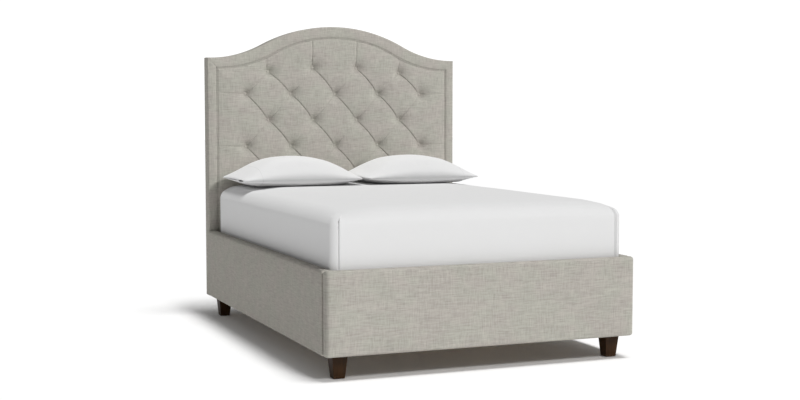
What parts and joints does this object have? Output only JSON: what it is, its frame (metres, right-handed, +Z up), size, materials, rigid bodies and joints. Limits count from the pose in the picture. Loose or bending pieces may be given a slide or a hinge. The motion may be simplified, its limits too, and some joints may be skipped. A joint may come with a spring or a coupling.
{
  "type": "upholstered bed",
  "caption": "Full-size upholstered bed: camelback button-tufted headboard, padded side rails and low footboard on tapered wooden legs, with slats, mattress, sheet and pillows.",
  "frame": {"origin": "on the floor, under the middle of the bed's footprint", "axes": "+Y from the foot towards the headboard, +X to the right of a person at the foot who faces the headboard, +Z up"},
  "size_m": [1.46, 2.044, 1.5798],
  "materials": {
    "upholstery_linen": "slubby cross-woven linen blend, matte",
    "welt_linen": "bias-cut linen over a cord",
    "espresso_wood": "dark stained, satin lacquer",
    "frame_lumber": "planed softwood, bare",
    "plywood": "bare plywood",
    "slat_pine": "planed pine, bare",
    "zinc_steel": "zinc plated",
    "black_steel": "black powder coat",
    "felt": "pressed felt",
    "black_plastic": "moulded, fine texture",
    "waxed_twine": "waxed twine and card washers",
    "mattress_ticking": "woven ticking",
    "sheet_cotton": "plain white cotton",
    "pillow_fill": "white cotton cover over fibre",
    "pillowcase_cotton": "plain white cotton"
  },
  "bodies": {
    "bed_frame": {"beam_hanger_foot": "black_steel", "beam_hanger_head": "black_steel", "bracket_bolts": "zinc_steel", "centre_beam": "frame_lumber", "centre_leg_dowels": "frame_lumber", "centre_leg_foot": "frame_lumber", "centre_leg_head": "frame_lumber", "corner_blocks": "frame_lumber", "corner_brackets": "black_steel", "countersunk_screws": "zinc_steel", "footboard_board": "frame_lumber", "footboard_cover": "upholstery_linen", "headboard_back_cover": "upholstery_linen", "headboard_border": "upholstery_linen", "headboard_crossrail_lower": "frame_lumber", "headboard_crossrail_upper": "frame_lumber", "headboard_panel": "plywood", "headboard_post_left": "frame_lumber", "headboard_post_right": "frame_lumber", "headboard_tufted_pad": "upholstery_linen", "headboard_welt": "welt_linen", "leg_front_left": "espresso_wood", "leg_front_right": "espresso_wood", "leg_glides": "felt", "leg_hanger_bolts": "zinc_steel", "leg_rear_left": "espresso_wood", "leg_rear_right": "espresso_wood", "pan_head_screws": "zinc_steel", "rail_board_left": "frame_lumber", "rail_board_right": "frame_lumber", "rail_cover_left": "upholstery_linen", "rail_cover_right": "upholstery_linen", "slat_01": "slat_pine", "slat_02": "slat_pine", "slat_03": "slat_pine", "slat_04": "slat_pine", "slat_05": "slat_pine", "slat_06": "slat_pine", "slat_07": "slat_pine", "slat_08": "slat_pine", "slat_09": "slat_pine", "slat_10": "slat_pine", "slat_11": "slat_pine", "slat_12": "slat_pine", "slat_ledger_left": "frame_lumber", "slat_ledger_right": "frame_lumber", "tee_nuts": "zinc_steel", "tuft_buttons": "upholstery_linen", "tuft_ties": "waxed_twine"},
    "mattress_body": {"mattress": "mattress_ticking", "bed_sheet": "sheet_cotton"},
    "pillow_left_body": {"pillow_left": "pillow_fill", "pillowcase_left": "pillowcase_cotton"},
    "pillow_right_body": {"pillow_right": "pillow_fill", "pillowcase_right": "pillowcase_cotton"},
    "leveller_foot_pad": {"leveller_pad_foot": "black_plastic"},
    "leveller_foot_stud": {"leveller_stud_foot": "zinc_steel"},
    "leveller_head_pad": {"leveller_pad_head": "black_plastic"},
    "leveller_head_stud": {"leveller_stud_head": "zinc_steel"}
  },
  "joints": [
    {"name": "mattress_lift", "type": "slide", "parent": "bed_frame", "child": "mattress_body", "axis": [0, 0, 1], "range_m": [0, 0.35]},
    {"name": "pillow_left_lift", "type": "slide", "parent": "mattress_body", "child": "pillow_left_body", "axis": [0, 0, 1], "range_m": [0, 0.25]},
    {"name": "pillow_right_lift", "type": "slide", "parent": "mattress_body", "child": "pillow_right_body", "axis": [0, 0, 1], "range_m": [0, 0.25]},
    {"name": "leveller_foot_travel", "type": "slide", "parent": "bed_frame", "child": "leveller_foot_pad", "axis": [0, 0, -1], "range_m": [-0.012, 0.02]},
    {"name": "leveller_foot_turn", "type": "hinge", "parent": "leveller_foot_pad", "child": "leveller_foot_stud", "pos_m": [0, -0.34, 0.0145], "axis": [0, 0, -1], "range_deg": [-3458, 5762]},
    {"name": "leveller_head_travel", "type": "slide", "parent": "bed_frame", "child": "leveller_head_pad", "axis": [0, 0, -1], "range_m": [-0.012, 0.02]},
    {"name": "leveller_head_turn", "type": "hinge", "parent": "leveller_head_pad", "child": "leveller_head_stud", "pos_m": [0, 0.3, 0.0145], "axis": [0, 0, -1], "range_deg": [-3458, 5762]}
  ],
  "couplings": [
    {"joint": "leveller_foot_turn", "follows": "leveller_foot_travel", "rad_per_m": 5026.5},
    {"joint": "leveller_head_turn", "follows": "leveller_head_travel", "rad_per_m": 5026.5}
  ]
}
